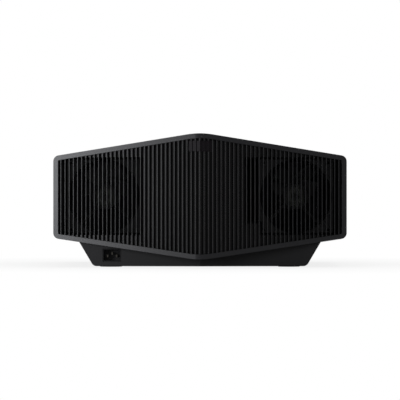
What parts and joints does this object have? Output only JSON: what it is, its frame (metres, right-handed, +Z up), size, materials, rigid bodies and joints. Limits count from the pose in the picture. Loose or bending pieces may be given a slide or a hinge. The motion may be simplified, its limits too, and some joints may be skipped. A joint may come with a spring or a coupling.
{
  "type": "home cinema projector",
  "caption": "Black home cinema projector with a six-sided section, ribbed V-shaped rear grille, recessed base, shiftable zoom lens, cooling fans, side sockets and buttons.",
  "frame": {"origin": "middle of the projector's footprint, at the height of the table its feet stand on", "axes": "+Y the way the lens looks, -Y the ribbed rear, +Z up, -X the side with sockets and buttons"},
  "size_m": [0.46, 0.5152, 0.2083],
  "materials": {
    "case_paint": "fine matte black",
    "moulding": "fine spark-textured black",
    "gloss": "gloss black",
    "smoke": "smoked infrared-pass acrylic",
    "rubber": "matte",
    "steel": "zinc plated",
    "black_steel": "black zinc",
    "brass": "turned",
    "aluminium": "extruded",
    "cast": "die cast",
    "board": "green solder mask",
    "pins": "nickel plated",
    "glass": "coated",
    "white": "light guide"
  },
  "bodies": {
    "case": {"lower_case": "moulding", "top_cover": "moulding", "rear_bezel": "moulding", "front_bezel": "moulding", "rear_grille": "moulding", "rear_ir_window": "smoke", "front_fascia": "moulding", "indicator_lens": "white", "front_ir_window": "smoke", "lens_trim_ring": "gloss", "front_grille_left": "moulding", "front_grille_right": "moulding", "pedestal": "moulding", "rear_foot_pads": "rubber", "mount_inserts": "brass", "case_screws": "black_steel", "ac_inlet": "gloss", "inlet_pins": "pins", "terminal_panel": "case_paint", "serial_port": "steel", "lan_socket": "steel", "hdmi_sockets": "steel", "usb_socket": "steel", "trigger_jack": "gloss", "control_panel": "case_paint", "switch_board": "board", "chassis_plate": "steel", "main_board": "board", "power_supply": "board", "light_engine_case": "cast", "combiner_prism": "glass", "laser_module": "cast", "laser_heat_sink": "aluminium", "left_fan_frame": "moulding", "right_fan_frame": "moulding", "lens_flange": "cast"},
    "left_fan": {"left_fan_rotor": "moulding"},
    "right_fan": {"right_fan_rotor": "moulding"},
    "phosphor_wheel": {"phosphor_wheel": "aluminium"},
    "vertical_carriage": {"shift_frame_vertical": "cast"},
    "lens_carriage": {"shift_frame_horizontal": "cast", "lens_barrel": "aluminium", "lens_shade": "moulding", "lens_glass": "glass"},
    "vertical_screw": {"shift_screw_vertical": "steel"},
    "horizontal_screw": {"shift_screw_horizontal": "steel"},
    "zoom_ring": {"zoom_ring": "moulding"},
    "zoom_pinion": {"zoom_pinion": "moulding"},
    "focus_ring": {"focus_ring": "moulding"},
    "focus_pinion": {"focus_pinion": "moulding"},
    "foot_left": {"foot_left": "rubber"},
    "foot_right": {"foot_right": "rubber"},
    "power_button": {"power_button": "gloss"},
    "ok_button": {"ok_button": "gloss"},
    "up_button": {"up_button": "gloss"},
    "down_button": {"down_button": "gloss"},
    "left_button": {"left_button": "gloss"},
    "right_button": {"right_button": "gloss"},
    "input_button": {"input_button": "gloss"},
    "menu_button": {"menu_button": "gloss"}
  },
  "joints": [
    {"name": "left_fan_spin", "type": "hinge", "parent": "case", "child": "left_fan", "pos_m": [-0.1505, -0.20831, 0.1105], "axis": [0.2417, 0.9703, 0], "continuous": true},
    {"name": "right_fan_spin", "type": "hinge", "parent": "case", "child": "right_fan", "pos_m": [0.1505, -0.20831, 0.1105], "axis": [-0.2417, 0.9703, 0], "continuous": true},
    {"name": "phosphor_wheel_spin", "type": "hinge", "parent": "case", "child": "phosphor_wheel", "pos_m": [-0.05, 0.025, 0.109], "axis": [1, 0, 0], "continuous": true},
    {"name": "lens_shift_vertical", "type": "slide", "parent": "case", "child": "vertical_carriage", "axis": [0, 0, 1], "range_m": [-0.0065, 0.0065]},
    {"name": "lens_shift_horizontal", "type": "slide", "parent": "vertical_carriage", "child": "lens_carriage", "axis": [1, 0, 0], "range_m": [-0.0049, 0.0049]},
    {"name": "vertical_screw_turn", "type": "hinge", "parent": "case", "child": "vertical_screw", "pos_m": [0.074, 0.153, 0.1], "axis": [0, 0, 1], "range_deg": [-960, 960]},
    {"name": "horizontal_screw_turn", "type": "hinge", "parent": "vertical_carriage", "child": "horizontal_screw", "pos_m": [0, 0.159, 0.173], "axis": [1, 0, 0], "range_deg": [-740, 740]},
    {"name": "zoom_turn", "type": "hinge", "parent": "lens_carriage", "child": "zoom_ring", "pos_m": [0, 0.177, 0.109], "axis": [0, 1, 0], "range_deg": [-45, 45]},
    {"name": "zoom_pinion_turn", "type": "hinge", "parent": "lens_carriage", "child": "zoom_pinion", "pos_m": [-0.0579, 0.177, 0.109], "axis": [0, 1, 0], "range_deg": [-255, 255]},
    {"name": "focus_turn", "type": "hinge", "parent": "lens_carriage", "child": "focus_ring", "pos_m": [0, 0.201, 0.109], "axis": [0, 1, 0], "range_deg": [-45, 45]},
    {"name": "focus_pinion_turn", "type": "hinge", "parent": "lens_carriage", "child": "focus_pinion", "pos_m": [0.0579, 0.201, 0.109], "axis": [0, 1, 0], "range_deg": [-255, 255]},
    {"name": "power_button_press", "type": "slide", "parent": "case", "child": "power_button", "axis": [1, 0, 0], "range_m": [0, 0.0008], "stiffness_N_per_m": 200, "springref_m": -0.001},
    {"name": "ok_button_press", "type": "slide", "parent": "case", "child": "ok_button", "axis": [1, 0, 0], "range_m": [0, 0.0008], "stiffness_N_per_m": 200, "springref_m": -0.001},
    {"name": "up_button_press", "type": "slide", "parent": "case", "child": "up_button", "axis": [1, 0, 0], "range_m": [0, 0.0008], "stiffness_N_per_m": 200, "springref_m": -0.001},
    {"name": "down_button_press", "type": "slide", "parent": "case", "child": "down_button", "axis": [1, 0, 0], "range_m": [0, 0.0008], "stiffness_N_per_m": 200, "springref_m": -0.001},
    {"name": "left_button_press", "type": "slide", "parent": "case", "child": "left_button", "axis": [1, 0, 0], "range_m": [0, 0.0008], "stiffness_N_per_m": 200, "springref_m": -0.001},
    {"name": "right_button_press", "type": "slide", "parent": "case", "child": "right_button", "axis": [1, 0, 0], "range_m": [0, 0.0008], "stiffness_N_per_m": 200, "springref_m": -0.001},
    {"name": "input_button_press", "type": "slide", "parent": "case", "child": "input_button", "axis": [1, 0, 0], "range_m": [0, 0.0008], "stiffness_N_per_m": 200, "springref_m": -0.001},
    {"name": "menu_button_press", "type": "slide", "parent": "case", "child": "menu_button", "axis": [1, 0, 0], "range_m": [0, 0.0008], "stiffness_N_per_m": 200, "springref_m": -0.001},
    {"name": "foot_left_height", "type": "slide", "parent": "case", "child": "foot_left", "axis": [0, 0, -1], "range_m": [0, 0.012]},
    {"name": "foot_right_height", "type": "slide", "parent": "case", "child": "foot_right", "axis": [0, 0, -1], "range_m": [0, 0.012]}
  ],
  "couplings": [
    {"joint": "vertical_screw_turn", "follows": "lens_shift_vertical", "rad_per_m": 2094.4},
    {"joint": "horizontal_screw_turn", "follows": "lens_shift_horizontal", "rad_per_m": 2094.4},
    {"joint": "zoom_pinion_turn", "follows": "zoom_turn", "ratio": -5},
    {"joint": "focus_pinion_turn", "follows": "focus_turn", "ratio": -5}
  ]
}
